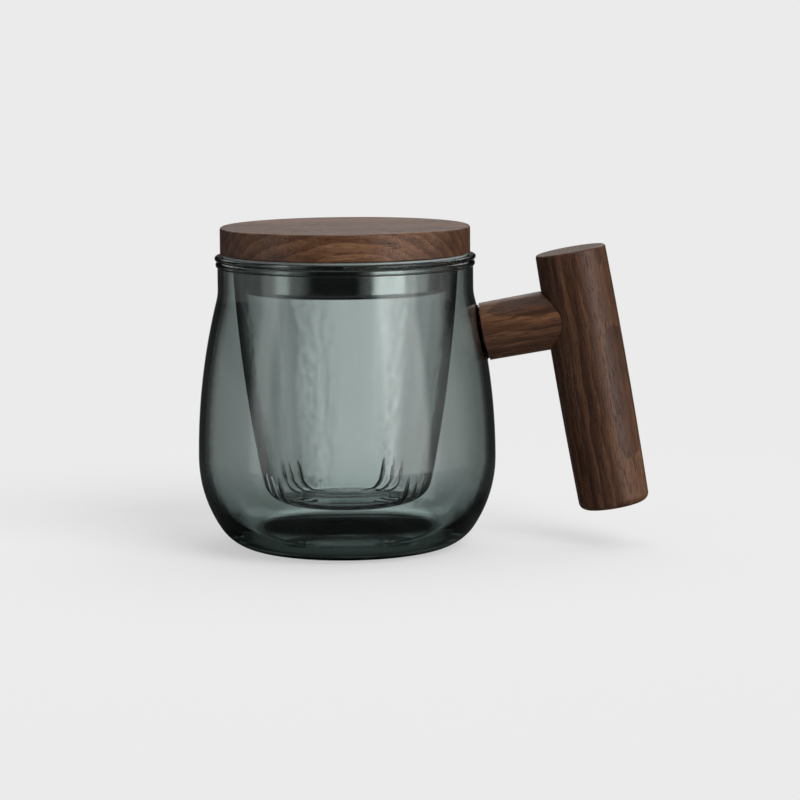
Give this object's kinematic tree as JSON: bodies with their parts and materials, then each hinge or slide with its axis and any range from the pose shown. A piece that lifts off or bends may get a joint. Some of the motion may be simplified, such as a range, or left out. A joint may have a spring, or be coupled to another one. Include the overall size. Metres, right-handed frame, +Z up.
{
  "type": "lidded tea mug with infuser",
  "caption": "Round-bellied glass mug with a leaning wooden tee handle, a hanging glass infuser and a lift-off wooden lid with a steel cup.",
  "frame": {"origin": "centre of the flat that the mug stands on", "axes": "+X towards the handle, +Y away from the side that the picture shows, +Z up"},
  "size_m": [0.153, 0.101, 0.1093],
  "materials": {
    "mug_glass": "smoked grey, clear and polished",
    "infuser_glass": "clear and polished",
    "handle_wood": "dark walnut, oiled",
    "lid_wood": "dark walnut, oiled",
    "dowel_wood": "plain beech",
    "steel": "polished stainless steel",
    "adhesive": "cured, translucent",
    "silicone": "translucent food silicone"
  },
  "bodies": {
    "mug": {"mug_glass": "mug_glass", "handle_bond": "adhesive", "handle_peg": "handle_wood", "handle_dowel": "dowel_wood", "handle_grip": "handle_wood"},
    "infuser": {"infuser_glass": "infuser_glass"},
    "lid": {"lid_disc": "lid_wood", "lid_cup": "steel", "lid_bond": "adhesive", "lid_gasket": "silicone"}
  },
  "joints": [
    {"name": "infuser_lift", "type": "slide", "parent": "mug", "child": "infuser", "axis": [0, 0, 1], "range_m": [0, 0.11]},
    {"name": "lid_lift", "type": "slide", "parent": "infuser", "child": "lid", "axis": [0, 0, 1], "range_m": [0, 0.06]}
  ]
}
